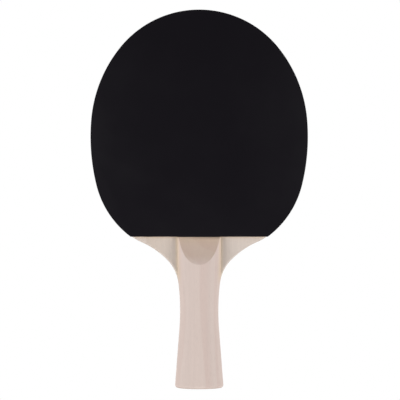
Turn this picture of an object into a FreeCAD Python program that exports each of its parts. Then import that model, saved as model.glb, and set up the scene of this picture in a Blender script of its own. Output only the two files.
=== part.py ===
"""Table tennis paddle: a five-ply wooden blade with a rubber sheet on each side and a flared handle.

Frame: millimetres, origin at the centre of the butt end, +Z up the handle to the head, +X across the blade
and -Y out of the front (black) side. The middle plane of the blade is Y = 0.

The wooden parts are made the way a bench makes them. The blade is one blank with rounded shoulders and the
handle is one crowned and scooped blank, and both are then sliced into their layers.
"""
import FreeCAD, Part
import math
import os
import Sketcher

Vector = FreeCAD.Vector

# Driving dimensions: alias, value (mm or degrees), what it is.
DIMENSIONS = [
    ("head_top", 262.95, "height of the top of the rubber above the butt"),
    ("rubber_line", 105.3, "height of the straight lower edge of the rubber"),
    ("overhang", 0.35, "how far the rubber stands past the wood all round"),
    ("film_inset", 0.2, "how far the glue films stay inside the rubber's edge"),
    # The outline as tangent arcs, from the top of the head down the side: radius, then angle turned.
    ("crest_radius", 70.45, "top of the head"),
    ("crest_sweep", 51.1, "top of the head"),
    ("flank_radius", 92.2, "upper side of the head"),
    ("flank_sweep", 34.0, "upper side of the head"),
    ("cheek_radius", 139.9, "widest part of the head"),
    ("cheek_sweep", 18.9, "widest part of the head"),
    ("jaw_radius", 63.7, "lower side of the head"),
    ("jaw_sweep", 40.1, "lower side of the head"),
    ("lip_radius", 28.4, "where the head turns out into the shoulder"),
    ("lip_sweep", 13.0, "where the head turns out into the shoulder"),
    ("shoulder_radius", 58.0, "hollow of the shoulder, next to the rubber"),
    ("shoulder_sweep", 21.9, "hollow of the shoulder, next to the rubber"),
    ("neck_radius", 28.9, "hollow of the shoulder, next to the handle"),
    ("neck_sweep", 38.2, "hollow of the shoulder, next to the handle"),
    ("grip_radius", 146.2, "upper part of the grip"),
    ("grip_sweep", 6.1, "upper part of the grip"),
    ("waist_radius", 178.9, "thinnest part of the grip"),
    ("waist_sweep", 5.3, "thinnest part of the grip"),
    ("end_round", 2.3, "rounding of the butt end, all round"),
    ("shoulder_round", 1.3, "rounding of the bare shoulder edges"),
    # Layers, from the middle plane outwards.
    ("core_ply", 1.7, "thickness of the middle ply"),
    ("ply_glue", 0.1, "thickness of each glue line between two plies"),
    ("inner_ply", 1.15, "thickness of each cross-grain ply"),
    ("outer_ply", 1.0, "thickness of each face ply"),
    ("sheet_glue", 0.1, "thickness of each glue film under and over a sponge"),
    ("sponge", 1.5, "thickness of each sponge"),
    ("top_sheet", 1.7, "thickness of each top sheet, with its pimples"),
    ("scale_glue", 0.1, "thickness of each glue line under a handle scale"),
    # Handle scales.
    ("neck_width", 30.2, "width of the handle where its sides stand on the shoulders"),
    ("tip_gap", 0.25, "gap between the tip of a scale and the rubber"),
    ("scoop_radius", 120.0, "radius of the hollow scooped into the upper end of a scale"),
    ("scoop_up", 130.6, "height of the centre of that hollow"),
    ("scoop_out", 123.1, "distance of the centre of that hollow from the middle plane"),
    ("scoop_round", 0.5, "rounding of the edge of the scoop"),
    # Working sizes, all well outside the wood.
    ("stock_width", 180.0, "width of the boxes that slice the blanks"),
    ("stock_height", 300.0, "height of the boxes that slice the blanks"),
    ("stock_depth", 40.0, "depth of the blanks before they are crowned"),
    ("stock_spare", 10.0, "how far the slicing boxes run past the ends of what they slice"),
    ("tuck", 2.0, "how far the shoulder rounding runs up under the rubber"),
    ("waist_level", 60.0, "height where the grip ends and the neck of the handle starts"),
]

# Crown of the handle: height above the butt, half width and half thickness of its elliptical sections.
# The half thickness is least at the waist and follows a parabola, and the heights are evenly spaced.
CROWN_STATIONS = [
    (-5.0, 18.05, 12.89),
    (14.0, 16.65, 12.24),
    (33.0, 15.25, 11.80),
    (52.0, 14.40, 11.58),
    (71.0, 15.35, 11.57),
    (90.0, 16.20, 11.79),
    (109.0, 16.40, 12.21),
]
STATION_LETTERS = "abcdefg"

HEAD_ARCS = ["crest", "flank", "cheek", "jaw"]
LOWER_ARCS = ["lip", "shoulder", "neck", "grip", "waist"]
HOLLOW_ARCS = ["shoulder", "neck", "grip", "waist"]

V_AXIS = -2
H_AXIS = -1
START, END, CENTRE = 1, 2, 3


def make_sheet(doc):
    """Write every driving dimension into one spreadsheet and return its values by alias."""
    sheet = doc.addObject("Spreadsheet::Sheet", "sizes")
    rows = list(DIMENSIONS)
    for letter, (level, half_width, half_depth) in zip(STATION_LETTERS, CROWN_STATIONS):
        rows.append(("crown_level_" + letter, level, "height of a section of the handle's crown"))
        rows.append(("crown_half_width_" + letter, half_width, "half width of that section"))
        rows.append(("crown_half_depth_" + letter, half_depth, "half thickness of that section"))
    for line, (alias, value, meaning) in enumerate(rows, start=1):
        sheet.set("A%d" % line, meaning)
        sheet.set("B%d" % line, str(value))
        sheet.setAlias("B%d" % line, alias)
    doc.recompute()
    return {alias: value for alias, value, _ in rows}


class Outline:
    """Half of an outline, drawn in a sketch as tangent arcs from the top of the axis down the right side."""

    def __init__(self, sketch, sizes, inset):
        self.sketch = sketch
        self.sizes = sizes
        self.inset = inset
        self.inset_value = sizes[inset] if inset else 0.0
        self.point = Vector(0, self.top_level(), 0)
        self.heading = 0.0
        self.last = None
        self.top = None

    def bind(self, constraint, name, expression):
        """Add a named constraint whose value follows the spreadsheet."""
        index = self.sketch.addConstraint(constraint)
        self.sketch.renameConstraint(index, name)
        self.sketch.setExpression("Constraints." + name, expression)

    def join(self, geometry, near):
        """Make a new piece start where the chain has got to, in the same direction."""
        if self.last:
            self.sketch.addConstraint(Sketcher.Constraint("Tangent", self.last[0], self.last[1], geometry, near))

    def arc(self, name, sweep, set_sweep=True, inset=False, alias=None):
        """Turn by sweep degrees: round the outside of the outline, or back where the name is a hollow."""
        hollow = name in HOLLOW_ARCS
        alias = alias or name + "_radius"
        radius = self.sizes[alias] - (self.inset_value if inset else 0.0)
        turn = math.radians(sweep)
        outward = Vector(math.sin(self.heading), math.cos(self.heading), 0)
        side = 1.0 if hollow else -1.0
        centre = self.point + outward * (side * radius)
        begin = math.pi * (1.5 if hollow else 0.5) - self.heading
        new_heading = self.heading - side * turn
        finish = math.pi * (1.5 if hollow else 0.5) - new_heading
        circle = Part.Circle(centre, Vector(0, 0, 1), radius)
        geometry = self.sketch.addGeometry(Part.ArcOfCircle(circle, min(begin, finish), max(begin, finish)))
        near, far = (START, END) if hollow else (END, START)
        self.join(geometry, near)
        expression = "sizes." + alias
        if inset and self.inset:
            expression += " - sizes." + self.inset
        self.bind(Sketcher.Constraint("Radius", geometry, radius), name + "_radius", expression)
        if set_sweep:
            self.bind(Sketcher.Constraint("Angle", geometry, turn), name + "_sweep", "sizes." + name + "_sweep")
        self.point = centre + Vector(math.sin(new_heading), math.cos(new_heading), 0) * (-side * radius)
        self.heading = new_heading
        self.last = (geometry, far)
        return geometry, near

    def line(self, end):
        """Draw a straight line from where the chain has got to."""
        geometry = self.sketch.addGeometry(Part.LineSegment(self.point, end))
        self.point = end
        return geometry

    def head(self, stop_at=None):
        """Draw the head's arcs; the last one either has its own sweep or stops at the height stop_at."""
        for name in HEAD_ARCS:
            sweep = self.sizes[name + "_sweep"]
            trimmed = stop_at is not None and name == "jaw"
            if trimmed:
                radius = self.sizes["jaw_radius"] - self.inset_value
                level = math.cos(self.heading) + (stop_at - self.point.y) / radius
                sweep = math.degrees(math.acos(level) - self.heading)
            geometry, near = self.arc(name, sweep, not trimmed, inset=True)
            if name == "crest":
                self.hang(geometry, near)

    def hang(self, geometry, near):
        """Put the crest's centre and its upper end on the axis, at the height of the top of the head."""
        self.top = (geometry, near)
        self.sketch.addConstraint(Sketcher.Constraint("PointOnObject", geometry, CENTRE, V_AXIS))
        self.sketch.addConstraint(Sketcher.Constraint("PointOnObject", geometry, near, V_AXIS))
        height = Sketcher.Constraint("DistanceY", H_AXIS, START, geometry, near, self.top_level())
        self.bind(height, "top", "sizes.head_top" + (" - sizes." + self.inset if self.inset else ""))

    def top_level(self):
        return self.sizes["head_top"] - self.inset_value

    def close(self, level, expression):
        """Run level to the axis at the given height, then up the axis to the top."""
        bottom = self.line(Vector(0, level, 0))
        self.sketch.addConstraint(Sketcher.Constraint("Horizontal", bottom))
        self.sketch.addConstraint(Sketcher.Constraint("PointOnObject", bottom, END, V_AXIS))
        if expression:
            height = Sketcher.Constraint("DistanceY", H_AXIS, START, bottom, END, level)
            self.bind(height, "lower_edge", expression)
        else:
            self.sketch.addConstraint(Sketcher.Constraint("PointOnObject", bottom, END, H_AXIS))
        axis = self.line(Vector(0, self.top_level(), 0))
        self.sketch.addConstraint(Sketcher.Constraint("Coincident", bottom, END, axis, START))
        self.sketch.addConstraint(Sketcher.Constraint("Coincident", axis, END, *self.top))
        return bottom


def draw_sheet_outline(sketch, sizes, inset):
    """Half outline of a rubber layer: the head, cut off straight at the rubber line."""
    outline = Outline(sketch, sizes, inset)
    lower = sizes["rubber_line"] + outline.inset_value
    outline.head(stop_at=lower)
    jaw = outline.last
    expression = "sizes.rubber_line" + (" + sizes." + inset if inset else "")
    bottom = outline.close(lower, expression)
    sketch.addConstraint(Sketcher.Constraint("Coincident", jaw[0], jaw[1], bottom, START))


def draw_blade_outline(sketch, sizes, corner):
    """Half outline of the blade: head, shoulder, grip and butt end, with or without its rounded corner."""
    outline = Outline(sketch, sizes, "overhang")
    outline.head()
    for name in LOWER_ARCS:
        outline.arc(name, sizes[name + "_sweep"])
    waist = outline.last
    # The flare is a straight line down to the butt end, or to the tangent point of the corner arc.
    heading = outline.heading
    stop = sizes["end_round"] * (1.0 + math.cos(heading)) if corner else 0.0
    length = (outline.point.y - stop) / math.sin(heading)
    flare = outline.line(outline.point + Vector(math.cos(heading), -math.sin(heading), 0) * length)
    sketch.addConstraint(Sketcher.Constraint("Tangent", waist[0], waist[1], flare, START))
    if not corner:
        bottom = outline.close(0.0, None)
        sketch.addConstraint(Sketcher.Constraint("Coincident", flare, END, bottom, START))
        return
    outline.last = (flare, END)
    outline.arc("corner", 180.0 - math.degrees(heading), set_sweep=False, alias="end_round")
    corner_end = outline.last
    bottom = outline.close(0.0, None)
    sketch.addConstraint(Sketcher.Constraint("Tangent", corner_end[0], corner_end[1], bottom, START))


def origin_plane(body, role):
    return [feature for feature in body.Origin.OriginFeatures if feature.Role == role][0]


def padded_half(doc, name, draw, thickness, offset=None, backwards=False):
    """Body of one flat layer: half outline in the XZ plane, padded along Y, mirrored about X = 0."""
    body = doc.addObject("PartDesign::Body", name)
    body.Label = name
    sketch = body.newObject("Sketcher::SketchObject", name + "_outline")
    sketch.AttachmentSupport = (origin_plane(body, "XZ_Plane"), "")
    sketch.MapMode = "FlatFace"
    if offset:
        sketch.setExpression("AttachmentOffset.Base.z", ("-(%s)" if backwards else "%s") % offset)
    draw(sketch)
    doc.recompute()
    pad = body.newObject("PartDesign::Pad", name + "_pad")
    pad.Profile = sketch
    pad.SideType = "One side" if offset else "Symmetric"
    pad.Reversed = backwards
    pad.setExpression("Length", thickness)
    mirror = body.newObject("PartDesign::Mirrored", name + "_mirror")
    mirror.Originals = [pad]
    mirror.MirrorPlane = (origin_plane(body, "YZ_Plane"), "")
    mirror.Refine = True
    body.Tip = mirror
    doc.recompute()
    return body


def slice_box(doc, name, low_y, depth, low_z="0", height="sizes.stock_height", width="sizes.stock_width"):
    """Box centred on X = 0 that cuts a slice out of a blank."""
    box = doc.addObject("Part::Box", name)
    box.setExpression("Length", width)
    box.setExpression("Width", depth)
    box.setExpression("Height", height)
    box.setExpression("Placement.Base.x", "-(%s) / 2" % width)
    box.setExpression("Placement.Base.y", low_y)
    box.setExpression("Placement.Base.z", low_z)
    return box


def boolean(doc, kind, name, base, tool):
    result = doc.addObject("Part::" + kind, name)
    result.Label = name
    result.Base = base
    result.Tool = tool
    result.Refine = True
    return result


def fuse(doc, name, shapes):
    result = doc.addObject("Part::MultiFuse", name)
    result.Shapes = shapes
    result.Refine = True
    return result


def round_edges(doc, name, base, radius_alias, radius, wanted):
    """Round the edges of base for which wanted(edge) is true."""
    doc.recompute()
    fillet = doc.addObject("Part::Fillet", name)
    fillet.Base = base
    numbers = [i for i, edge in enumerate(base.Shape.Edges, start=1) if wanted(edge)]
    print(name, "rounds", len(numbers), "edges by sizes." + radius_alias)
    fillet.Edges = [(number, radius, radius) for number in numbers]
    return fillet


def blade_thickness():
    return "(sizes.core_ply + 4 * sizes.ply_glue + 2 * sizes.inner_ply + 2 * sizes.outer_ply)"


def handle_plan(doc, name, top):
    """Where the handle may be: the whole width of the grip, and above it a straight-sided neck up to top."""
    low_y, depth = "-sizes.stock_depth / 2", "sizes.stock_depth"
    grip = slice_box(doc, name + "_grip", low_y, depth, "-sizes.end_round", "sizes.waist_level + sizes.end_round")
    neck = slice_box(doc, name + "_neck", low_y, depth, "0", top, "sizes.neck_width")
    return fuse(doc, name, [grip, neck])


def blade_slab(doc, sizes, name, thickness, corner):
    """The whole outline as one slab, with or without the rounded corners of the butt end."""
    def draw(sketch):
        draw_blade_outline(sketch, sizes, corner)

    return padded_half(doc, name, draw, thickness)


def sheet_slab(doc, sizes, name, thickness, inset, inner, backwards):
    """One rubber layer, padded outwards from its inner face."""
    def draw(sketch):
        draw_sheet_outline(sketch, sizes, inset)

    return padded_half(doc, name, draw, thickness, inner, backwards)


def blade_blank(doc, sizes):
    """The blade as glued up and shaped: sharp under the rubber and the scales, rounded at the bare shoulders."""
    outline = blade_slab(doc, sizes, "blade_outline", blade_thickness(), True)
    low_y, depth = "-sizes.stock_depth / 2", "sizes.stock_depth"
    middle = slice_box(doc, "shoulder_slice", low_y, depth, "sizes.waist_level",
                       "sizes.rubber_line + sizes.tuck - sizes.waist_level")
    above = slice_box(doc, "head_slice", low_y, depth, "sizes.rubber_line + sizes.tuck")
    shoulders = boolean(doc, "Common", "square_shoulders", outline, middle)
    head = boolean(doc, "Common", "head_blank", outline, above)
    plan = handle_plan(doc, "tang_plan", "sizes.rubber_line + sizes.stock_spare")
    tang = boolean(doc, "Common", "tang_blank", outline, plan)

    def is_shoulder(edge):
        """An edge along the outline, on the front or the back face."""
        return edge.BoundBox.YLength < 1e-6 and edge.BoundBox.ZLength > 1e-6

    rounded = round_edges(doc, "rounded_shoulders", shoulders, "shoulder_round", sizes["shoulder_round"], is_shoulder)
    return fuse(doc, "blade_blank", [rounded, head, tang])


def make_crown(doc):
    """The rounded stick that the handle is cut from: a loft through its elliptical sections."""
    sections = []
    for letter in STATION_LETTERS:
        section = doc.addObject("Part::Ellipse", "crown_section_" + letter)
        section.setExpression("MajorRadius", "sizes.crown_half_width_" + letter)
        section.setExpression("MinorRadius", "sizes.crown_half_depth_" + letter)
        section.setExpression("Placement.Base.z", "sizes.crown_level_" + letter)
        sections.append(section)
    crown = doc.addObject("Part::Loft", "crown")
    crown.Sections = sections
    crown.Solid = True
    return crown


def make_scoop(doc, name, sign):
    """The cutter of one scoop: a wide cylinder lying across the handle, on the side that sign gives."""
    scoop = doc.addObject("Part::Cylinder", name)
    scoop.setExpression("Radius", "sizes.scoop_radius")
    scoop.setExpression("Height", "sizes.stock_depth")
    scoop.Placement = FreeCAD.Placement(Vector(0, 0, 0), FreeCAD.Rotation(Vector(0, 1, 0), 90))
    scoop.setExpression("Placement.Base.x", "-sizes.stock_depth / 2")
    scoop.setExpression("Placement.Base.y", sign + "sizes.scoop_out")
    scoop.setExpression("Placement.Base.z", "sizes.scoop_up")
    return scoop


def handle_blank(doc, sizes):
    """The handle as one crowned piece: both scales and the space of the tang between them."""
    block = blade_slab(doc, sizes, "handle_outline", "sizes.stock_depth", False)
    plan = handle_plan(doc, "scale_plan", "sizes.rubber_line - sizes.tip_gap")
    stick = boolean(doc, "Common", "handle_stick", block, plan)
    shaped = boolean(doc, "Common", "crowned_handle", stick, make_crown(doc))
    for name, sign in (("front_scoop", "-"), ("back_scoop", "")):
        shaped = boolean(doc, "Cut", name + "_cut", shaped, make_scoop(doc, name, sign))

    def is_butt(edge):
        return edge.BoundBox.ZMax < 1e-3

    def is_scoop(edge):
        """An edge between a scoop and the crown: it climbs, and it leaves the flat side of the neck."""
        box = edge.BoundBox
        return box.ZMin > sizes["waist_level"] and min(box.XLength, box.YLength, box.ZLength) > 1.0

    ended = round_edges(doc, "ended_handle", shaped, "end_round", sizes["end_round"], is_butt)
    return round_edges(doc, "handle_blank", ended, "scoop_round", sizes["scoop_round"], is_scoop)


def offset_of(layers):
    """Distance from the middle plane to the outer side of the given layers."""
    return " + ".join(["sizes.core_ply / 2"] + ["sizes." + layer for layer in layers])


def slice_node(doc, blank, name, inner, thickness, front):
    """One node: the part of a blank between two distances from the middle plane."""
    low_y = "-(%s + %s)" % (inner, thickness) if front else inner
    box = slice_box(doc, name + "_slice", low_y, thickness, "-sizes.stock_spare")
    return boolean(doc, "Common", name, blank, box)


def blade_nodes(doc, sizes):
    """Five plies and the four glue lines between them."""
    blank = blade_blank(doc, sizes)
    core_box = slice_box(doc, "core_ply_slice", "-sizes.core_ply / 2", "sizes.core_ply", "-sizes.stock_spare")
    nodes = [boolean(doc, "Common", "core_ply", blank, core_box)]
    stack = [("ply_glue", "inner_ply_glue"), ("inner_ply", "inner_ply"), ("ply_glue", "outer_ply_glue"),
             ("outer_ply", "outer_ply")]
    for side in ("front", "back"):
        inside = []
        for layer, node in stack:
            thickness = "sizes." + layer
            nodes.append(slice_node(doc, blank, side + "_" + node, offset_of(inside), thickness, side == "front"))
            inside.append(layer)
    return nodes


def face_nodes(doc, sizes):
    """The rubber of each side: glue film, sponge, glue film and top sheet, outwards from the blade."""
    stack = [("sheet_glue", "sponge_glue", "film_inset"), ("sponge", "sponge", None),
             ("sheet_glue", "top_sheet_glue", "film_inset"), ("top_sheet", "top_sheet", None)]
    nodes = []
    for side in ("front", "back"):
        inside = ["ply_glue", "inner_ply", "ply_glue", "outer_ply"]
        for layer, node, inset in stack:
            inner = offset_of(inside)
            name = side + "_" + node
            nodes.append(sheet_slab(doc, sizes, name, "sizes." + layer, inset, inner, side == "back"))
            inside.append(layer)
    return nodes


def handle_nodes(doc, sizes):
    """The two handle scales and the glue line under each."""
    blank = handle_blank(doc, sizes)
    inside = ["ply_glue", "inner_ply", "ply_glue", "outer_ply"]
    nodes = []
    for side in ("front", "back"):
        front = side == "front"
        face = offset_of(inside)
        nodes.append(slice_node(doc, blank, side + "_scale_glue", face, "sizes.scale_glue", front))
        seat = offset_of(inside + ["scale_glue"])
        nodes.append(slice_node(doc, blank, side + "_handle_scale", seat, "sizes.stock_depth / 2", front))
    return nodes


def check(doc, nodes):
    """Stop if any object failed or any node is not one good solid."""
    for item in doc.Objects:
        if "Invalid" in item.State or "Error" in item.State:
            raise RuntimeError("%s failed: %s" % (item.Name, item.State))
        if item.TypeId == "Sketcher::SketchObject" and not item.FullyConstrained:
            raise RuntimeError("%s is not fully constrained" % item.Name)
    for node in nodes:
        shape = node.Shape
        if shape.isNull() or not shape.isValid():
            raise RuntimeError("%s has a bad shape" % node.Label)
        box = shape.BoundBox
        print("%-22s solids %d faces %3d volume %9.1f  x %.2f y %.2f..%.2f z %.2f..%.2f" % (
            node.Label, len(shape.Solids), len(shape.Faces), shape.Volume,
            box.XMax, box.YMin, box.YMax, box.ZMin, box.ZMax))


def main():
    doc = FreeCAD.newDocument("paddle")
    sizes = make_sheet(doc)
    nodes = blade_nodes(doc, sizes) + face_nodes(doc, sizes) + handle_nodes(doc, sizes)
    doc.recompute()
    check(doc, nodes)
    os.makedirs("parts", exist_ok=True)
    for node in nodes:
        node.Shape.exportStep("parts/%s.step" % node.Label)


main()
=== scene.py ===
# %% [markdown]
# # A table tennis paddle
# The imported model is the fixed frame: its sizes and places are right, and nothing here moves or resizes it.
# This script gives it its looks. It makes a studio, the wood, rubber, sponge and glue, and the pieces whose
# real form is finer than a plain solid: the playing rubber with its hidden field of pimples, the sponge with
# its cut edge, and the veneers and glue lines that show along the edge.

import math

import bmesh
import bpy
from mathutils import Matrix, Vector, noise


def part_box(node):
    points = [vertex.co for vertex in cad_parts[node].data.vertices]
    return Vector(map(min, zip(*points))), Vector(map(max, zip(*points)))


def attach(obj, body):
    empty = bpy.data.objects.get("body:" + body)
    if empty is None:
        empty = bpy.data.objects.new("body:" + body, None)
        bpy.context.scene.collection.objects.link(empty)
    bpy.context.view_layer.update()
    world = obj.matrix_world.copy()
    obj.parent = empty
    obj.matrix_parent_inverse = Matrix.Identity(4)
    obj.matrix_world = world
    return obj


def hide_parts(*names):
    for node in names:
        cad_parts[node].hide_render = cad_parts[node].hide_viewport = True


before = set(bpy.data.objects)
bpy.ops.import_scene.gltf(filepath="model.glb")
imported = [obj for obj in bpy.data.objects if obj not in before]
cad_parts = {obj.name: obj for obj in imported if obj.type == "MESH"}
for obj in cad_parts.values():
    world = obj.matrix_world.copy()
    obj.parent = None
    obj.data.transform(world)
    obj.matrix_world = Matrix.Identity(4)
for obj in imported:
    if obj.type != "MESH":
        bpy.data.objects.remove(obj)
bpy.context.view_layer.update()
scene = bpy.context.scene

# %% [markdown]
# ## Sizes
# Lengths are in metres, because that is Blender's unit. The planes between the layers are read from the
# frame, so they cannot drift away from it. The outline of the wood and of the rubber is a chain of tangent
# arcs, and those are the only sizes repeated from the design. Each is a radius and the angle that it turns,
# going down the right side from the top of the head. A negative radius is a hollow.

# %% Sizes
MM = 0.001
SIDES = {"front": -1, "back": 1}
HEAD_ARCS = [(70.45 * MM, 51.1), (92.2 * MM, 34.0), (139.9 * MM, 18.9), (63.7 * MM, 40.1)]
LIP_ARC = [(28.4 * MM, 13.0)]
HOLLOW_ARCS = [(-58.0 * MM, 21.9), (-28.9 * MM, 38.2), (-146.2 * MM, 6.1), (-178.9 * MM, 5.3)]
OVERHANG = 0.35 * MM        # the rubber stands out past the wood by this much
BUTT_ROUND = 2.3 * MM       # corners of the blade at the butt end
SHOULDER_ROUND = 1.3 * MM   # the bare shoulders are sanded round, and this fades out under the rubber
SHOULDER_TUCK = 2.0 * MM
NECK_HALF = 15.1 * MM       # half the width of a handle scale at the neck


def planes(node):
    """How far a layer's inner and outer face are from the middle of the blade, read from the frame."""
    low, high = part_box(node)
    inner, outer = sorted((abs(low.y), abs(high.y)))
    return inner, outer


RUBBER_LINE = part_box("front_top_sheet")[0].z
RUBBER_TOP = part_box("front_top_sheet")[1].z
BLADE_FACE = planes("front_outer_ply")[1]
for layer in ("outer_ply", "sponge", "top_sheet"):
    print("%-10s %.2f to %.2f mm" % (layer, *(value / MM for value in planes("front_" + layer))))

# %% [markdown]
# ## Camera
# The paddle is looked at square on from a little over a metre, with a long lens, so its outline is nearly
# the true one. The camera comes first, because everything else is judged through it.

# %% Camera
VIEW_DISTANCE = 1.1
VIEW_WIDTH = 0.2792
VIEW_HEIGHT = 0.1308
VIEW_ASIDE = 0.00055

camera_data = bpy.data.cameras.new("studio_camera")
camera = bpy.data.objects.new("studio_camera", camera_data)
scene.collection.objects.link(camera)
camera.location = (VIEW_ASIDE, -VIEW_DISTANCE, VIEW_HEIGHT)
camera.rotation_euler = (math.radians(90), 0, 0)
camera_data.sensor_width = 36.0
camera_data.lens = camera_data.sensor_width * VIEW_DISTANCE / VIEW_WIDTH
camera_data.dof.use_dof = False
scene.camera = camera
print("lens %.1f mm" % camera_data.lens)

# %% [markdown]
# ## Studio
# Black rubber next to pale wood needs care. A surface seen square on mirrors what stands behind the camera,
# so there the room stays dark, and the light comes from large soft boxes well to the sides, above, below and
# behind. The key light is on the left, and a little stronger than the one on the right. The low box fills
# the corners beside the handle scales and under the rubber's edge. The backdrop is plain white, but only to
# the camera.

# %% Floor, backdrop and lights
FLOOR_DROP = 1.6
FLOOR_SIZE = 12.0
FLOOR_COLOUR = (0.80, 0.80, 0.80, 1)
FLOOR_ROUGHNESS = 0.9
ROOM_COLOUR = (1.0, 0.99, 0.98, 1)
WHITE = (1, 1, 1, 1)


def make_floor():
    """A pale floor some way below the paddle. It gives light back, and the camera looks through it."""
    mesh = bpy.data.meshes.new("floor")
    half = FLOOR_SIZE / 2
    corners = [(-half, -half), (half, -half), (half, half), (-half, half)]
    mesh.from_pydata([(x, y, -FLOOR_DROP) for x, y in corners], [], [(0, 1, 2, 3)])
    floor = bpy.data.objects.new("floor", mesh)
    scene.collection.objects.link(floor)
    paint = bpy.data.materials.new("floor_paint")
    paint.use_nodes = True
    paint.node_tree.nodes["Principled BSDF"].inputs["Base Color"].default_value = FLOOR_COLOUR
    paint.node_tree.nodes["Principled BSDF"].inputs["Roughness"].default_value = FLOOR_ROUGHNESS
    mesh.materials.append(paint)
    floor.visible_camera = False


def make_world(ambient):
    """White where the camera looks past the paddle, and a dim even glow for everything else."""
    world = bpy.data.worlds.new("studio_world")
    world.use_nodes = True
    tree = world.node_tree
    tree.nodes.clear()
    room = tree.nodes.new("ShaderNodeBackground")
    backdrop = tree.nodes.new("ShaderNodeBackground")
    light_path = tree.nodes.new("ShaderNodeLightPath")
    mix = tree.nodes.new("ShaderNodeMixShader")
    out = tree.nodes.new("ShaderNodeOutputWorld")
    room.inputs["Color"].default_value = ROOM_COLOUR
    room.inputs["Strength"].default_value = ambient
    backdrop.inputs["Color"].default_value = WHITE
    tree.links.new(light_path.outputs["Is Camera Ray"], mix.inputs["Fac"])
    tree.links.new(room.outputs[0], mix.inputs[1])
    tree.links.new(backdrop.outputs[0], mix.inputs[2])
    tree.links.new(mix.outputs[0], out.inputs["Surface"])
    scene.world = world


def soft_box(name, place, width, height, power):
    """An area light that faces the middle of the paddle."""
    data = bpy.data.lights.new(name, "AREA")
    data.shape = "RECTANGLE"
    data.size = width
    data.size_y = height
    data.energy = power
    light = bpy.data.objects.new(name, data)
    scene.collection.objects.link(light)
    light.location = place
    aim = Vector((0, 0, VIEW_HEIGHT)) - Vector(place)
    light.rotation_mode = "QUATERNION"
    light.rotation_quaternion = aim.to_track_quat("-Z", "Y")


make_floor()
make_world(ambient=0.22)
# Each box has its place, width and height in metres, and its power in watts.
soft_box("key_left", (-1.74, -0.90, 0.06), 0.8, 1.0, 27.7)
soft_box("fill_right", (1.74, -0.90, 0.03), 0.8, 1.0, 26.2)
soft_box("front_low", (0.0, -0.98, -1.36), 0.9, 0.6, 6)
soft_box("top_box", (0.0, -0.1, 2.0), 1.6, 1.6, 3.0)
soft_box("rear_left", (-0.95, 1.65, 0.6), 1.2, 1.2, 16)
soft_box("rear_right", (0.95, 1.65, 0.4), 1.2, 1.2, 14)
scene.view_settings.view_transform = "Standard"

# %% [markdown]
# ## Helpers for node trees
# Materials here are procedural. A shader tree is easier to read when each node is one line, so `add` makes a
# node and fills its sockets, by name, with a value or with another node's output.


# %% Node helpers
def plug(tree, socket, value):
    """Fill a socket with another node's output or with a plain value."""
    if isinstance(value, bpy.types.NodeSocket):
        tree.links.new(value, socket)
    elif value is not None:
        socket.default_value = value


def add(tree, kind, settings=None, **sockets):
    """Make a node; settings are its own options, and the rest are its sockets by name."""
    made = tree.nodes.new(kind)
    for key, value in (settings or {}).items():
        setattr(made, key, value)
    for key, value in sockets.items():
        plug(tree, made.inputs[key.replace("_", " ")], value)
    return made


def calc(tree, operation, *values):
    """A Math node on up to three values; returns its output."""
    made = tree.nodes.new("ShaderNodeMath")
    made.operation = operation
    for socket, value in zip(made.inputs, values):
        plug(tree, socket, value)
    return made.outputs[0]


def vector_calc(tree, operation, *values, out="Vector"):
    """A Vector Math node on up to three vectors; returns one of its outputs."""
    made = tree.nodes.new("ShaderNodeVectorMath")
    made.operation = operation
    for socket, value in zip(made.inputs, values):
        plug(tree, socket, value)
    return made.outputs[out]


def ramp(tree, value, low, high, to_low=0.0, to_high=1.0):
    """A smooth step from to_low to to_high while value goes from low to high."""
    made = add(tree, "ShaderNodeMapRange", {"interpolation_type": "SMOOTHSTEP"}, Value=value,
               From_Min=low, From_Max=high, To_Min=to_low, To_Max=to_high)
    return made.outputs["Result"]


def blend(tree, mask, first, second, mode="MIX"):
    """A Mix node on two colours; returns the colour."""
    made = tree.nodes.new("ShaderNodeMix")
    made.data_type = "RGBA"
    made.blend_type = mode
    plug(tree, made.inputs["Factor"], mask)
    plug(tree, made.inputs[6], first)
    plug(tree, made.inputs[7], second)
    return made.outputs[2]


def noise_value(tree, point, scale, detail=2.0, roughness=0.5):
    """A Noise texture's value at a point."""
    made = add(tree, "ShaderNodeTexNoise", Vector=point, Scale=scale, Detail=detail, Roughness=roughness)
    return made.outputs[0]


def new_group(name, inputs, outputs):
    """A shader node group with named sockets; returns the tree and its input and output nodes."""
    tree = bpy.data.node_groups.new(name, "ShaderNodeTree")
    kinds = {"f": "NodeSocketFloat", "c": "NodeSocketColor", "v": "NodeSocketVector"}
    for label, kind, value in inputs:
        socket = tree.interface.new_socket(label, in_out="INPUT", socket_type=kinds[kind])
        if value is not None:
            socket.default_value = value
    for label, kind in outputs:
        tree.interface.new_socket(label, in_out="OUTPUT", socket_type=kinds[kind])
    return tree, tree.nodes.new("NodeGroupInput").outputs, tree.nodes.new("NodeGroupOutput").inputs


def use_group(tree, group, **sockets):
    """Put a group into a tree and fill its inputs by name; returns its outputs."""
    made = tree.nodes.new("ShaderNodeGroup")
    made.node_tree = group
    for key, value in sockets.items():
        plug(tree, made.inputs[key.replace("_", " ")], value)
    return made.outputs


def new_material(name):
    """A material with a plain Principled shader; returns the material, its tree and the shader."""
    material = bpy.data.materials.new(name)
    material.use_nodes = True
    tree = material.node_tree
    return material, tree, tree.nodes["Principled BSDF"]


def bump(tree, height, strength, distance):
    """A Bump node; returns the normal."""
    made = add(tree, "ShaderNodeBump", Height=height, Strength=strength, Distance=distance)
    return made.outputs["Normal"]


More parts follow.
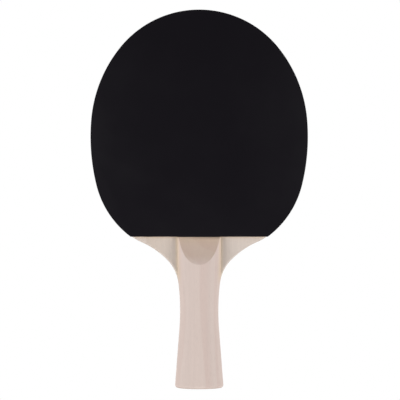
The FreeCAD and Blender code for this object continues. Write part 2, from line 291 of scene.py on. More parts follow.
# %% [markdown]
# ## Wood
# All the wood is one idea: a tree grows in rings round its pith, and its fibres and pores run along the
# trunk. So the pattern is made in three dimensions from the distance to a pith axis, not painted on. A
# surface cut along the fibres shows bands and streaks, and one cut across them, such as the butt end or the
# scooped tip of a handle scale, shows rings and is darker, because open fibre ends swallow light. Cuts
# facing up the fibres, such as the scoop, take this darkening from a slight tilt on. Cuts facing down them,
# such as the butt's rounded rim, take it only where they are nearly square to them. The extra darkening of
# the upward cuts is painted shade.
#
# The group takes a point whose Z runs along the fibres, so that a cross-grain ply is the same wood turned.
# On the scoop the darkening, real end grain and painted shade together, starts faint at its sanded lower
# lip, where sanding closes the fibres, and is full some way above it. Wood without such a lip keeps the
# defaults, far below everything.

# %% The wood group
WANDER = 2.4 * MM


def make_wood_group():
    """Wood in three dimensions: its colour, roughness and relief at a point."""
    inputs = [
        ("Point", "v", None),
        ("Fibre Axis", "v", (0, 0, 1)),
        ("Pith", "v", (0.0, 0.05, 0.0)),
        ("Ring Spacing", "f", 0.003),
        ("Ring Contrast", "f", 0.5),
        ("Fibre Contrast", "f", 0.3),
        ("Pore Contrast", "f", 0.3),
        ("Early Colour", "c", (0.66, 0.54, 0.48, 1)),
        ("Late Colour", "c", (0.56, 0.44, 0.37, 1)),
        ("End Tint", "c", (0.8, 0.74, 0.66, 1)),
        ("Sanded Lip", "f", -1.0),
        ("Open Grain", "f", -0.999),
    ]
    outputs = [("Colour", "c"), ("Roughness", "f"), ("Height", "f")]
    tree, given, out = new_group("wood", inputs, outputs)
    point = given["Point"]
    # Rings: distance from the pith, wandering slowly along the trunk.
    wander = add(tree, "ShaderNodeTexNoise", Scale=1.0, Detail=3.0,
                 Vector=vector_calc(tree, "MULTIPLY", point, (55, 55, 7))).outputs["Color"]
    centred = vector_calc(tree, "SUBTRACT", wander, (0.5, 0.5, 0.5))
    shift = vector_calc(tree, "MULTIPLY", centred, (WANDER, WANDER, 0))
    moved = vector_calc(tree, "ADD", vector_calc(tree, "SUBTRACT", point, given["Pith"]), shift)
    flat = vector_calc(tree, "MULTIPLY", moved, (1, 1, 0))
    distance = vector_calc(tree, "LENGTH", flat, out="Value")
    turns = calc(tree, "DIVIDE", distance, given["Ring Spacing"])
    phase = calc(tree, "FRACT", turns)
    late = calc(tree, "MULTIPLY", ramp(tree, phase, 0.25, 0.92), ramp(tree, phase, 0.93, 1.0, 1.0, 0.0))
    uneven = noise_value(tree, vector_calc(tree, "MULTIPLY", point, (220, 220, 6)), 1.0, 2.0)
    ring = calc(tree, "MULTIPLY", late, ramp(tree, uneven, 0.25, 0.75, 0.35, 1.0))
    # Fibres: very long thin streaks. Pores: short darker dashes among them.
    fibre = noise_value(tree, vector_calc(tree, "MULTIPLY", point, (2600, 2600, 60)), 1.0, 3.0, 0.6)
    streak = noise_value(tree, vector_calc(tree, "MULTIPLY", point, (700, 700, 12)), 1.0, 2.0)
    pore = noise_value(tree, vector_calc(tree, "MULTIPLY", point, (3800, 3800, 260)), 1.0, 1.0)
    pores = ramp(tree, pore, 0.60, 0.74)
    # How far the surface is cut across the fibres, facing up or down the trunk. Cuts facing up are darkened
    # at a slighter tilt than cuts facing down, which paints shade on them.
    facing = vector_calc(tree, "DOT_PRODUCT", add(tree, "ShaderNodeTexCoord").outputs["Normal"],
                         given["Fibre Axis"], out="Value")
    along = add(tree, "ShaderNodeSeparateXYZ", Vector=point).outputs["Z"]
    opened = add(tree, "ShaderNodeMapRange", {"interpolation_type": "SMOOTHSTEP"}, Value=along)
    plug(tree, opened.inputs["From Min"], given["Sanded Lip"])
    plug(tree, opened.inputs["From Max"], given["Open Grain"])
    # Painted shade: upward-facing cuts, such as the scoop, take the end tint from a tilt of a few degrees.
    upward_end_grain_and_shade = calc(tree, "MULTIPLY", ramp(tree, facing, 0.08, 0.22), opened.outputs["Result"])
    across = calc(tree, "MAXIMUM", upward_end_grain_and_shade, ramp(tree, facing, -0.60, -0.93))
    colour = blend(tree, calc(tree, "MULTIPLY", ring, given["Ring Contrast"]), given["Early Colour"],
                   given["Late Colour"])
    shade = calc(tree, "SUBTRACT", calc(tree, "ADD", fibre, streak), 1.0)
    lift = calc(tree, "MULTIPLY_ADD", shade, given["Fibre Contrast"], 1.0)
    sink = calc(tree, "SUBTRACT", 1.0, calc(tree, "MULTIPLY", pores, given["Pore Contrast"]))
    shaded = calc(tree, "MULTIPLY", lift, sink)
    tone = add(tree, "ShaderNodeCombineColor", Red=shaded, Green=shaded, Blue=shaded)
    colour = blend(tree, 1.0, colour, tone.outputs[0], "MULTIPLY")
    # The end and shade tint: real end grain, and painted shade on upward-facing cuts.
    end_and_shade_tinted = blend(tree, 1.0, colour, given["End Tint"], "MULTIPLY")
    plug(tree, out["Colour"], blend(tree, across, colour, end_and_shade_tinted))
    rough = calc(tree, "MULTIPLY_ADD", fibre, 0.18, 0.52)
    plug(tree, out["Roughness"], calc(tree, "ADD", rough, calc(tree, "MULTIPLY", across, 0.12)))
    height = calc(tree, "SUBTRACT", calc(tree, "MULTIPLY", fibre, 0.6), calc(tree, "MULTIPLY", pores, 0.5))
    plug(tree, out["Height"], calc(tree, "ADD", height, calc(tree, "MULTIPLY", ring, 0.25)))
    return tree


WOOD = make_wood_group()
print("wood group:", len(WOOD.nodes), "nodes")

# %% [markdown]
# ## Kinds of wood
# A handle scale is a pale, slightly pink wood with broad soft rings, so its pith lies far behind the handle.
# The face veneers are a cooler white wood, the cross veneers a browner one, and the core is light and
# yellowish. Each kind sets its own pith, ring spacing and pair of colours for the group above.
#
# The clear lacquer is thicker in the corners where a scale stands on the blade, and looks yellower there.
# Its tint also darkens those corners, which is painted shade.

# %% Wooden materials
WOOD_SHINE = 0.3
WOOD_RELIEF = 0.12 * MM
CROSS_TURN = (0, math.radians(90), 0)
NECK_START = 70 * MM
NECK_FULL = 80 * MM


def wood_material(name, turn=(0, 0, 0), **look):
    """A material of one kind of wood; turn brings its fibres onto Z, and look fills the group's inputs."""
    material, tree, shader = new_material(name)
    place = add(tree, "ShaderNodeTexCoord").outputs["Object"]
    turned = add(tree, "ShaderNodeMapping", {"vector_type": "POINT"}, Vector=place, Rotation=turn)
    outputs = use_group(tree, WOOD, Point=turned.outputs[0], **look)
    plug(tree, shader.inputs["Base Color"], outputs["Colour"])
    plug(tree, shader.inputs["Roughness"], outputs["Roughness"])
    plug(tree, shader.inputs["Normal"], bump(tree, outputs["Height"], 0.35, WOOD_RELIEF))
    shader.inputs["Specular IOR Level"].default_value = WOOD_SHINE
    return material


materials = {
    "handle_wood": wood_material(
        "handle_wood", Pith=(0.0187, 0.0875, 0), Ring_Spacing=0.0042, Ring_Contrast=0.8, Fibre_Contrast=0.07,
        Pore_Contrast=0.08, Early_Colour=(0.678, 0.562, 0.512, 1), Late_Colour=(0.648, 0.512, 0.464, 1),
        End_Tint=(0.865, 0.82, 0.755, 1), Sanded_Lip=0.0845, Open_Grain=0.0935),
    "blade_wood": wood_material(
        "blade_wood", Pith=(0.02, 0.32, 0), Ring_Spacing=0.0062, Ring_Contrast=0.4, Fibre_Contrast=0.09,
        Pore_Contrast=0.1, Early_Colour=(0.672, 0.585, 0.525, 1), Late_Colour=(0.60, 0.48, 0.38, 1),
        End_Tint=(0.86, 0.80, 0.72, 1)),
    "cross_wood": wood_material(
        "cross_wood", turn=CROSS_TURN, Fibre_Axis=(1, 0, 0), Pith=(0.0, 0.2, 0), Ring_Spacing=0.004,
        Ring_Contrast=0.6, Fibre_Contrast=0.25, Pore_Contrast=0.35, Early_Colour=(0.56, 0.42, 0.30, 1),
        Late_Colour=(0.44, 0.31, 0.21, 1), End_Tint=(0.72, 0.64, 0.55, 1)),
    "core_wood": wood_material(
        "core_wood", Pith=(0.03, 0.25, 0), Ring_Spacing=0.005, Ring_Contrast=0.5, Fibre_Contrast=0.2,
        Pore_Contrast=0.3, Early_Colour=(0.66, 0.54, 0.42, 1), Late_Colour=(0.55, 0.43, 0.32, 1),
        End_Tint=(0.8, 0.74, 0.66, 1)),
}


def lacquer_and_corner_shade(material, axis, corner, reach, lacquer_and_shade_tint):
    """Yellower lacquer and painted shade beside the scale's foot, from the corner out to reach along the
    axis.
    """
    tree = material.node_tree
    base = tree.nodes["Principled BSDF"].inputs["Base Color"]
    plain = base.links[0].from_socket
    parts = add(tree, "ShaderNodeSeparateXYZ", Vector=add(tree, "ShaderNodeTexCoord").outputs["Object"])
    near = ramp(tree, calc(tree, "ABSOLUTE", parts.outputs[axis]), corner + reach, corner)
    high = ramp(tree, parts.outputs["Z"], NECK_START, NECK_FULL)
    # Painted shade: the tint darkens the corner beside the scale's foot as well as yellowing it.
    plug(tree, base, blend(tree, calc(tree, "MULTIPLY", near, high), plain, lacquer_and_shade_tint, "MULTIPLY"))


# Painted shade with yellower lacquer in the corners beside the scales, on both the scale and the blade.
lacquer_and_corner_shade(materials["handle_wood"], "Y", 4.6 * MM, 3.4 * MM, (1.0, 0.965, 0.84, 1))
lacquer_and_corner_shade(materials["blade_wood"], "X", 15.4 * MM, 2.2 * MM, (1.0, 0.985, 0.90, 1))
print("wooden materials:", sorted(materials))

# %% [markdown]
# ## Glue
# Wood glue dries to a thin amber-brown line between two plies. Contact cement under a rubber sheet dries to
# a yellowish film with small rubbery lumps. Both are so thin that uneven colour and a little bump are enough.

# %% Glue materials
LUMP_HEIGHT = 0.1 * MM


def film_material(name, light, dark, scale, roughness):
    """A dried film with lumps; a higher scale makes them finer."""
    material, tree, shader = new_material(name)
    place = add(tree, "ShaderNodeTexCoord").outputs["Object"]
    lumps = noise_value(tree, place, scale, 4.0, 0.6)
    colour = blend(tree, ramp(tree, lumps, 0.35, 0.65), dark, light)
    plug(tree, shader.inputs["Base Color"], colour)
    plug(tree, shader.inputs["Roughness"], ramp(tree, lumps, 0.3, 0.7, roughness - 0.1, roughness + 0.1))
    plug(tree, shader.inputs["Normal"], bump(tree, lumps, 0.4, LUMP_HEIGHT))
    return material


materials["wood_glue"] = film_material("wood_glue", (0.42, 0.29, 0.17, 1), (0.27, 0.17, 0.09, 1), 900, 0.5)
materials["sheet_glue"] = film_material("sheet_glue", (0.42, 0.34, 0.17, 1), (0.28, 0.22, 0.1, 1), 1400, 0.6)
print("glue materials: wood_glue, sheet_glue")

# %% [markdown]
# ## Rubber
# The playing side is smooth moulded rubber. It is matt enough to look plain from the front, with a soft
# sheen at a shallow angle. Two things keep it from looking like painted plastic: a very fine moulded
# texture with slow changes in sheen, and the pimples on its hidden side, which telegraph through by a few
# thousandths of a millimetre and show only in raking light.
#
# Three cosines at 120 degrees to each other add up to a bump at every point of a triangular lattice, so the
# faint pattern lies exactly over the real pimples, which use the same pitch.

# %% The rubber group
PIMPLE_PITCH = 2.3 * MM
DUST_COLOUR = (0.32, 0.31, 0.31, 1)
RUBBER_RELIEF = 0.03 * MM


def make_rubber_group():
    """Moulded rubber: its colour with dust, its roughness, and its relief over the pimples."""
    inputs = [("Point", "v", None), ("Colour", "c", (0.006, 0.006, 0.007, 1)), ("Dust", "f", 0.02)]
    outputs = [("Colour", "c"), ("Roughness", "f"), ("Height", "f")]
    tree, given, out = new_group("playing_rubber", inputs, outputs)
    point = given["Point"]
    reach = 2 * math.pi / PIMPLE_PITCH
    waves = []
    for across, up in ((1, -1 / math.sqrt(3)), (0, 2 / math.sqrt(3)), (1, 1 / math.sqrt(3))):
        along = vector_calc(tree, "DOT_PRODUCT", point, (across * reach, 0, up * reach), out="Value")
        waves.append(calc(tree, "COSINE", along))
    lattice = calc(tree, "ADD", calc(tree, "ADD", waves[0], waves[1]), waves[2])
    grain = noise_value(tree, point, 5200.0, 2.0, 0.6)
    slow = noise_value(tree, point, 28.0, 3.0, 0.55)
    specks = ramp(tree, noise_value(tree, point, 2600.0, 1.0), 0.70, 0.78)
    dusty = calc(tree, "MULTIPLY", specks, given["Dust"])
    haze = calc(tree, "MULTIPLY", ramp(tree, slow, 0.4, 0.8), calc(tree, "MULTIPLY", given["Dust"], 0.15))
    dust = calc(tree, "ADD", dusty, haze)
    plug(tree, out["Colour"], blend(tree, dust, given["Colour"], DUST_COLOUR))
    sheen = ramp(tree, slow, 0.3, 0.7, 0.29, 0.34)
    plug(tree, out["Roughness"], calc(tree, "ADD", sheen, calc(tree, "MULTIPLY", grain, 0.06)))
    fine = calc(tree, "MULTIPLY", grain, 0.35)
    plug(tree, out["Height"], calc(tree, "ADD", fine, calc(tree, "MULTIPLY", lattice, 0.06)))
    return tree


RUBBER = make_rubber_group()
print("rubber group:", len(RUBBER.nodes), "nodes")

# %% [markdown]
# ## Black and red rubber
# The two sides are the same rubber with different pigment. Carbon black swallows nearly all light, so the
# black side lives from its sheen. Red pigment scatters, so the red side shows its colour everywhere.


# %% Rubber materials
def rubber_material(name, colour, dust, specular):
    """A top sheet's material; dust is the share of the surface that fine dust covers."""
    material, tree, shader = new_material(name)
    place = add(tree, "ShaderNodeTexCoord").outputs["Object"]
    outputs = use_group(tree, RUBBER, Point=place, Colour=colour, Dust=dust)
    plug(tree, shader.inputs["Base Color"], outputs["Colour"])
    plug(tree, shader.inputs["Roughness"], outputs["Roughness"])
    plug(tree, shader.inputs["Normal"], bump(tree, outputs["Height"], 0.5, RUBBER_RELIEF))
    shader.inputs["Specular IOR Level"].default_value = specular
    return material


materials["black_rubber"] = rubber_material("black_rubber", (0.0042, 0.0032, 0.0056, 1), 0.006, 0.2)
materials["red_rubber"] = rubber_material("red_rubber", (0.42, 0.010, 0.010, 1), 0.02, 0.25)
print("rubber materials: black_rubber, red_rubber")

# %% [markdown]
# ## Sponge
# The sponge under the rubber is fine-celled foam, cut with a knife along the paddle's edge, so only its cut
# edge shows: a warm yellow wall of small broken bubbles. Each bubble is a cell of a Voronoi texture, with
# painted shade darkening its hollow, and some bubbles are larger than others.

# %% Sponge material
LARGE_BUBBLES = 3600
SMALL_BUBBLES = 7800
BUBBLE_DEPTH = 0.1 * MM
SPONGE_SHINE = 0.25


def sponge_material():
    """Yellow foam: bubbles in two sizes with painted shade in their hollows, and a slow change of colour."""
    material, tree, shader = new_material("sponge")
    place = add(tree, "ShaderNodeTexCoord").outputs["Object"]
    large = add(tree, "ShaderNodeTexVoronoi", Vector=place, Scale=LARGE_BUBBLES).outputs["Distance"]
    small = add(tree, "ShaderNodeTexVoronoi", Vector=place, Scale=SMALL_BUBBLES).outputs["Distance"]
    bubble_relief_and_shade = calc(tree, "MULTIPLY", ramp(tree, large, 0.10, 0.55), ramp(tree, small, 0.05, 0.5, 0.55, 1.0))
    slow = noise_value(tree, place, 300.0, 3.0)
    light = blend(tree, ramp(tree, slow, 0.35, 0.65), (0.74, 0.50, 0.15, 1), (0.82, 0.60, 0.22, 1))
    # Painted shade: each bubble's hollow takes the dark colour, its rim the light one.
    colour = blend(tree, bubble_relief_and_shade, (0.50, 0.29, 0.06, 1), light)
    plug(tree, shader.inputs["Base Color"], colour)
    plug(tree, shader.inputs["Roughness"], ramp(tree, bubble_relief_and_shade, 0.0, 1.0, 0.9, 0.75))
    plug(tree, shader.inputs["Normal"], bump(tree, bubble_relief_and_shade, 0.8, BUBBLE_DEPTH))
    shader.inputs["Specular IOR Level"].default_value = SPONGE_SHINE
    return material


materials["sponge"] = sponge_material()
print("materials:", len(materials))

# %% [markdown]
# ## Outlines
# Walking along a chain of tangent arcs needs only the point and the heading, because each arc starts where
# the last one ended, in the same direction. The walk gives the right side; the left side is its mirror
# image. The rubber uses the head's arcs alone, cut off by the straight rubber line.

# %% Walk along the arcs
STEP = 1.0 * MM
FEWEST_STEPS = 4
RUBBER_LINE_STEPS = 80


def walk(arcs, x, z, heading, stop=None):
    """Points (x, z, heading) along the arcs. The last arc ends at the height stop, if there is one."""
    points = [(x, z, heading)]
    for number, (radius, sweep) in enumerate(arcs):
        steps = max(FEWEST_STEPS, round(abs(radius) * math.radians(sweep) / STEP))
        turn = math.copysign(math.radians(sweep), radius)
        if stop is not None and number == len(arcs) - 1:
            turn = math.acos(math.cos(heading) + (stop - z) / radius) - heading
        centre_x = x - radius * math.sin(heading)
        centre_z = z - radius * math.cos(heading)
        for step in range(1, steps + 1):
            at = heading + turn * step / steps
            points.append((centre_x + radius * math.sin(at), centre_z + radius * math.cos(at), at))
        x, z, heading = points[-1]
    return points


def both_sides(right, bottom_steps):
    """The whole ring of (x, z) from its right side: down the right, along the bottom, and up the left."""
    x, z = right[-1]
    bottom = [(x - 2 * x * step / bottom_steps, z) for step in range(1, bottom_steps)]
    return right + bottom + [(-px, pz) for px, pz in reversed(right[1:])]


def rubber_ring(inset):
    """The outline of the rubber, moved inwards by inset all round."""
    arcs = [(radius - inset, sweep) for radius, sweep in HEAD_ARCS]
    points = walk(arcs, 0.0, RUBBER_TOP - inset, 0.0, RUBBER_LINE + inset)
    return both_sides([(x, z) for x, z, _ in points], RUBBER_LINE_STEPS)


def widest(ring):
    """The ring's width in millimetres."""
    return 2 * max(x for x, _ in ring) / MM


print("rubber ring: %d points, %.1f mm wide" % (len(rubber_ring(0.0)), widest(rubber_ring(0.0))))

# %% [markdown]
# ## The blade's outline
# The blade runs on below the rubber: a small lip, the hollow shoulders and neck, the waist, a straight flare
# and the rounded butt corner. Its shoulders are sanded round where they are bare, so the outline depends on
# the distance from the middle of the blade.

# %% The blade's ring
FLARE_STEP = 3 * STEP
BUTT_STEPS = 12


def blade_side():
    """Points (x, z, heading) down the right side of the wood, to the middle of the butt end."""
    arcs = [(radius - OVERHANG, sweep) for radius, sweep in HEAD_ARCS] + LIP_ARC + HOLLOW_ARCS
    points = walk(arcs, 0.0, RUBBER_TOP - OVERHANG, 0.0)
    x, z, heading = points[-1]
    flare = (z - BUTT_ROUND * (1 + math.cos(heading))) / math.sin(heading)
    steps = round(flare / FLARE_STEP)
    for step in range(1, steps + 1):
        gone = flare * step / steps
        points.append((x + gone * math.cos(heading), z - gone * math.sin(heading), heading))
    return points + walk([(BUTT_ROUND, 180 - math.degrees(heading))], *points[-1])[1:]


BLADE_SIDE = blade_side()


def blade_ring(level, inset=0.0):
    """The blade's outline at a distance from its middle plane. The bare shoulders are rounded over."""
    rise = max(0.0, level - (BLADE_FACE - SHOULDER_ROUND))
    rounding = SHOULDER_ROUND - math.sqrt(max(0.0, SHOULDER_ROUND ** 2 - rise ** 2))
    right = []
    for x, z, heading in BLADE_SIDE:
        under = min(1.0, max(0.0, (z - RUBBER_LINE) / SHOULDER_TUCK))
        bare = (1 - under * under * (3 - 2 * under)) if x > NECK_HALF else 0.0
        move = rounding * bare
        moved_x = x - math.sin(heading) * move
        if bare:
            moved_x = max(moved_x, NECK_HALF)
        right.append((moved_x - math.sin(heading) * inset, z - math.cos(heading) * (move + inset)))
    return both_sides(right, BUTT_STEPS)


print("blade ring: %d points, %.1f mm wide" % (len(blade_ring(0.0)), widest(blade_ring(0.0))))

# %% [markdown]
# ## Slabs from rings
# Every layer is a stack of rings, all with the same number of points, joined with faces and closed with one
# flat face at each end. That keeps the edges of all the layers on the same curve, however thin they are.


# %% Slabs, shading and hand-over
def slab(name, rings):
    """A closed solid from rings; each is a list of (x, z) points and the y where it lies."""
    points, faces = [], []
    for ring, y in rings:
        points += [(x, y, z) for x, z in ring]
    count = len(rings[0][0])
    for row in range(len(rings) - 1):
        for number in range(count):
            following = (number + 1) % count
            faces.append([row * count + number, row * count + following,
                          (row + 1) * count + following, (row + 1) * count + number])
    faces.append(list(range(count)))
    faces.append(list(range((len(rings) - 1) * count, len(rings) * count)))
    mesh = bpy.data.meshes.new(name)
    mesh.from_pydata(points, [], faces)
    made = bmesh.new()
    made.from_mesh(mesh)
    bmesh.ops.recalc_face_normals(made, faces=made.faces)
    made.to_mesh(mesh)
    made.free()
    piece = bpy.data.objects.new(name, mesh)
    scene.collection.objects.link(piece)
    return piece


def settle(piece):
    """Turn what the modifiers show into the piece's own plain mesh."""
    bpy.context.view_layer.update()
    result = bpy.data.meshes.new_from_object(piece.evaluated_get(bpy.context.evaluated_depsgraph_get()))
    piece.modifiers.clear()
    result.name = piece.name
    piece.data = result


def shade(piece, angle):
    """Smooth shading, with edges sharper than angle kept crisp and flat faces kept flat."""
    piece.data.shade_smooth()
    piece.data.set_sharp_from_angle(angle=math.radians(angle))
    weigh = piece.modifiers.new("weigh_normals", "WEIGHTED_NORMAL")
    weigh.keep_sharp = True
    settle(piece)


def hand_over(piece, slot, *nodes):
    """Hang the finished piece on the root body and hide the frame's nodes that it stands for."""
    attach(piece, "root")
    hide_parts(*nodes)
    triangles = sum(len(face.vertices) - 2 for face in piece.data.polygons)
    print("%-24s %6d triangles, stands for %s" % (piece.name, triangles, ", ".join(nodes)))


# %% [markdown]
# ## Top sheets
# A top sheet is one moulding: a smooth skin a little under a millimetre thick, with short tapered pimples
# in a triangular lattice on its inner side, which are glued to the sponge. From the edge they show as a row
# of tiny pillars. A knife cuts the sheet along the blade, straight through any pimple that it meets.
#
# Geometry Nodes make the field. A grid of points, every other row moved by half a pitch, keeps only those
# inside the outline, gets one tapered pimple each, and then every vertex that stands outside the outline is
# pulled back to it, which is what the knife does.

# %% The pimple tree
PIMPLE_ROOT = 0.95 * MM
PIMPLE_TIP = 0.78 * MM
PIMPLE_SIDES = 8
CUT_LIMIT = 0.45 * MM
FIELD_WIDTH = 160 * MM
FIELD_REACH = 170 * MM
RUBBER_MIDDLE = (RUBBER_TOP + RUBBER_LINE) / 2


def make_pimple_tree():
    """Geometry Nodes that add the field of pimples to a skin; what stands past its outline is cut off."""
    tree = bpy.data.node_groups.new("pimple_field", "GeometryNodeTree")
    face = tree.interface
    face.new_socket("Geometry", in_out="INPUT", socket_type="NodeSocketGeometry")
    sizes = [("Pitch", PIMPLE_PITCH), ("Root Radius", PIMPLE_ROOT), ("Tip Radius", PIMPLE_TIP),
             ("Height", 1 * MM), ("Root Depth", 0.0), ("Width", FIELD_WIDTH), ("Reach", FIELD_REACH),
             ("Middle", RUBBER_MIDDLE), ("Cut Limit", CUT_LIMIT)]
    for label, value in sizes:
        face.new_socket(label, in_out="INPUT", socket_type="NodeSocketFloat").default_value = value
    face.new_socket("Facing", in_out="INPUT", socket_type="NodeSocketFloat").default_value = -1.0
    face.new_socket("Material", in_out="INPUT", socket_type="NodeSocketMaterial")
    face.new_socket("Geometry", in_out="OUTPUT", socket_type="NodeSocketGeometry")
    given = tree.nodes.new("NodeGroupInput").outputs
    skin, pitch = given["Geometry"], given["Pitch"]
    row_height = calc(tree, "MULTIPLY", pitch, math.sqrt(3) / 2)
    columns = calc(tree, "FLOOR", calc(tree, "DIVIDE", given["Width"], pitch))
    rows = calc(tree, "FLOOR", calc(tree, "DIVIDE", given["Reach"], row_height))
    grid = add(tree, "GeometryNodeMeshGrid", Vertices_X=calc(tree, "ADD", columns, 1.0),
               Vertices_Y=calc(tree, "ADD", rows, 1.0), Size_X=calc(tree, "MULTIPLY", columns, pitch),
               Size_Y=calc(tree, "MULTIPLY", rows, row_height))
    # Lattice: the grid stands up in the XZ plane, and odd rows move by half a pitch.
    at = add(tree, "ShaderNodeSeparateXYZ", Vector=tree.nodes.new("GeometryNodeInputPosition").outputs[0])
    lift = calc(tree, "ROUND", calc(tree, "DIVIDE", given["Middle"], row_height))
    row = calc(tree, "ADD", calc(tree, "ROUND", calc(tree, "DIVIDE", at.outputs["Y"], row_height)), lift)
    odd = calc(tree, "ABSOLUTE", calc(tree, "MODULO", row, 2.0))
    column = calc(tree, "ROUND", calc(tree, "DIVIDE", at.outputs["X"], pitch))
    lattice_x = calc(tree, "MULTIPLY", calc(tree, "MULTIPLY_ADD", odd, 0.5, column), pitch)
    place = add(tree, "ShaderNodeCombineXYZ", X=lattice_x, Y=given["Root Depth"],
                Z=calc(tree, "MULTIPLY", row, row_height))
    spread = add(tree, "GeometryNodeSetPosition", Geometry=grid.outputs["Mesh"], Position=place.outputs[0])
    near = add(tree, "GeometryNodeProximity", {"target_element": "FACES"})
    plug(tree, near.inputs["Geometry"], skin)
    far = calc(tree, "GREATER_THAN", near.outputs["Distance"], given["Cut Limit"])
    kept = add(tree, "GeometryNodeDeleteGeometry", {"domain": "POINT"}, Geometry=spread.outputs[0])
    plug(tree, kept.inputs["Selection"], far)
    # One tapered pimple, wide at its root on the skin.
    cone = add(tree, "GeometryNodeMeshCone", Vertices=PIMPLE_SIDES, Radius_Top=given["Tip Radius"],
               Radius_Bottom=given["Root Radius"], Depth=given["Height"])
    turn = add(tree, "ShaderNodeCombineXYZ", X=calc(tree, "MULTIPLY", given["Facing"], math.pi / 2))
    field = add(tree, "GeometryNodeInstanceOnPoints", Points=kept.outputs[0], Instance=cone.outputs["Mesh"])
    plug(tree, field.inputs["Rotation"], turn.outputs[0])
    real = add(tree, "GeometryNodeRealizeInstances", Geometry=field.outputs[0])
    # The knife: what stands outside the outline comes back to it.
    spot = tree.nodes.new("GeometryNodeInputPosition").outputs[0]
    level = add(tree, "ShaderNodeSeparateXYZ", Vector=spot)
    flattened = add(tree, "ShaderNodeCombineXYZ", X=level.outputs["X"], Y=given["Root Depth"],
                    Z=level.outputs["Z"])
    edge = add(tree, "GeometryNodeProximity", {"target_element": "FACES"})
    plug(tree, edge.inputs["Geometry"], skin)
    plug(tree, edge.inputs["Source Position"], flattened.outputs[0])
    nearest = add(tree, "ShaderNodeSeparateXYZ", Vector=edge.outputs["Position"])
    trimmed = add(tree, "ShaderNodeCombineXYZ", X=nearest.outputs["X"], Y=level.outputs["Y"],
                  Z=nearest.outputs["Z"])
    cut = add(tree, "GeometryNodeSetPosition", Geometry=real.outputs[0], Position=trimmed.outputs[0])
    both = tree.nodes.new("GeometryNodeJoinGeometry")
    tree.links.new(cut.outputs[0], both.inputs[0])
    tree.links.new(skin, both.inputs[0])
    whole = add(tree, "GeometryNodeRealizeInstances", Geometry=both.outputs[0])
    painted = add(tree, "GeometryNodeSetMaterial", Geometry=whole.outputs[0])
    plug(tree, painted.inputs["Material"], given["Material"])
    tree.links.new(painted.outputs[0], tree.nodes.new("NodeGroupOutput").inputs[0])
    return tree


PIMPLES = make_pimple_tree()
print("pimple tree:", len(PIMPLES.nodes), "nodes")

# %% [markdown]
# ## The skin, and the two sheets
# The skin is a slab with a tiny round along its outer edge, worn there by handling. The pimples take up what
# is left of the sheet's thickness. The back sheet is the front one seen in a mirror.

# %% Make the two top sheets
SKIN_THICKNESS = 0.8 * MM
SKIN_ROUND = 0.12 * MM
SKIN_CREASE = 50


def set_input(modifier, tree, label, value):
    """Set a Geometry Nodes input by its identifier, which is what the modifier keys on."""
    for item in tree.interface.items_tree:
        if item.in_out == "INPUT" and item.name == label:
            modifier[item.identifier] = value


def make_top_sheet(side, slot):
    """One side's skin with its pimples, trimmed and turned into plain mesh."""
    bottom, outer = planes(side + "_top_sheet")
    inner = outer - SKIN_THICKNESS
    corner = SKIN_ROUND * (1 - math.sqrt(0.5))
    steps = [(SKIN_ROUND, outer), (corner, outer - corner), (0.0, outer - SKIN_ROUND), (0.0, inner)]
    sheet = slab(side + "_rubber_sheet", [(rubber_ring(inset), SIDES[side] * y) for inset, y in steps])
    sheet.data.shade_smooth()
    sheet.data.set_sharp_from_angle(angle=math.radians(SKIN_CREASE))
    field = sheet.modifiers.new("pimples", "NODES")
    field.node_group = PIMPLES
    set_input(field, PIMPLES, "Height", inner - bottom)
    set_input(field, PIMPLES, "Root Depth", SIDES[side] * inner)
    set_input(field, PIMPLES, "Facing", float(SIDES[side]))
    set_input(field, PIMPLES, "Material", materials[slot])
    settle(sheet)
    hand_over(sheet, slot, side + "_top_sheet")


make_top_sheet("front", "black_rubber")
make_top_sheet("back", "red_rubber")

# %% [markdown]
# ## Sponges
# A sponge is a slab whose faces are glued and whose edge is free. Between the two glue films the cut edge
# bulges by a tenth of a millimetre, and it is a little uneven, because foam tears as it is cut.

# %% Make the two sponges
SPONGE_ROWS = 9
SPONGE_BULGE = 0.10 * MM
SPONGE_TEAR = 0.05 * MM
TEAR_SCALE = 2500
EDGE_CREASE = 35


def make_sponge(side):
    """One side's foam, which gives when the ball hits it."""
    inner, outer = planes(side + "_sponge")
    rings = []
    for row in range(SPONGE_ROWS + 1):
        share = row / SPONGE_ROWS
        bulge = SPONGE_BULGE * (1 - math.sin(math.pi * share))
        rings.append((rubber_ring(bulge), SIDES[side] * (outer + (inner - outer) * share)))
    sponge = slab(side + "_sponge_layer", rings)
    middle = Vector((0, 0, RUBBER_MIDDLE))
    for vertex in sponge.data.vertices:
        outwards = (vertex.co - middle) * Vector((1, 0, 1))
        torn = SPONGE_TEAR * (noise.noise(vertex.co * TEAR_SCALE) - 1)
        vertex.co += outwards.normalized() * torn
    sponge.data.materials.append(materials["sponge"])
    shade(sponge, EDGE_CREASE)
    hand_over(sponge, "sponge", side + "_sponge")


make_sponge("front")
make_sponge("back")

# %% [markdown]
# ## The plies
# The blade is five veneers, glued up with the grain of every other one turned, then sawn and sanded as one.
# From the front only the two face veneers show, on the shoulders, but the edge shows all five all the way
# round. Each veneer and each glue line is a slab on the same outline, and the dried glue lies a few
# hundredths of a millimetre below the sanded wood, which is why a real glue line looks like a fine shadow.

# %% Make the plies and the glue lines between them
GLUE_RECESS = 0.04 * MM
ROUND_STEPS = 8


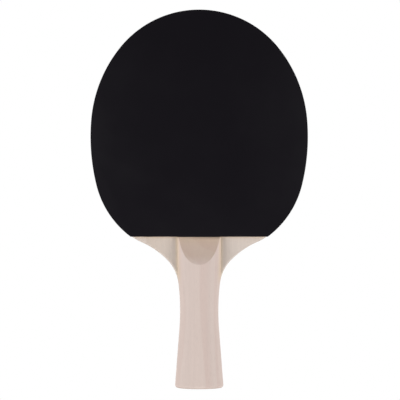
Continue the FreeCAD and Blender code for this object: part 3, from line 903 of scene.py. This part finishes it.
def blade_layer(node, name, slot, inset=0.0):
    """A veneer or glue line. Where the layer reaches the rounded shoulders it has rings close together."""
    low, high = (value.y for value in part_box(node))
    steps = ROUND_STEPS if max(abs(low), abs(high)) > BLADE_FACE - SHOULDER_ROUND else 1
    levels = [low + (high - low) * step / steps for step in range(steps + 1)]
    piece = slab(name, [(blade_ring(abs(level), inset), level) for level in levels])
    piece.data.materials.append(materials[slot])
    shade(piece, EDGE_CREASE)
    hand_over(piece, slot, node)


blade_layer("core_ply", "core_veneer", "core_wood")
for side in SIDES:
    blade_layer(side + "_inner_ply_glue", side + "_inner_glue_line", "wood_glue", GLUE_RECESS)
    blade_layer(side + "_inner_ply", side + "_cross_veneer", "cross_wood")
    blade_layer(side + "_outer_ply_glue", side + "_outer_glue_line", "wood_glue", GLUE_RECESS)
    blade_layer(side + "_outer_ply", side + "_face_veneer", "blade_wood")

# %% [markdown]
# ## Handle scales
# The two scales are the right shape in the frame, but the frame's mesh is loose triangles, which light as
# flat facets. So each scale is a copy whose doubled corners are merged, with the curved faces shaded
# smoothly and the crisp edges kept crisp.

# %% Make the two scales
SCALE_CREASE = 28
MERGE_DISTANCE = 0.001 * MM


def smooth_copy(node, name, slot):
    """A piece with the node's own shape, joined up and smoothly shaded."""
    piece = bpy.data.objects.new(name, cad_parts[node].data.copy())
    scene.collection.objects.link(piece)
    made = bmesh.new()
    made.from_mesh(piece.data)
    bmesh.ops.remove_doubles(made, verts=made.verts, dist=MERGE_DISTANCE)
    made.to_mesh(piece.data)
    made.free()
    piece.data.materials.clear()
    piece.data.materials.append(materials[slot])
    shade(piece, SCALE_CREASE)
    hand_over(piece, slot, node)


for side in SIDES:
    smooth_copy(side + "_handle_scale", side + "_scale", "handle_wood")

# %% [markdown]
# ## Glue films
# The films under the scales and the rubber have their right shape in the frame, so those nodes stay as they
# are and only get a material.


# %% Glue on the frame's own nodes
def paint(node, slot):
    """Give one of the frame's nodes a material; its mesh and place stay as they are."""
    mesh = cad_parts[node].data
    mesh.materials.clear()
    mesh.materials.append(materials[slot])


for side in SIDES:
    paint(side + "_scale_glue", "wood_glue")
    for film in ("sponge_glue", "top_sheet_glue"):
        paint(side + "_" + film, "sheet_glue")
print("painted: 6 glue films")
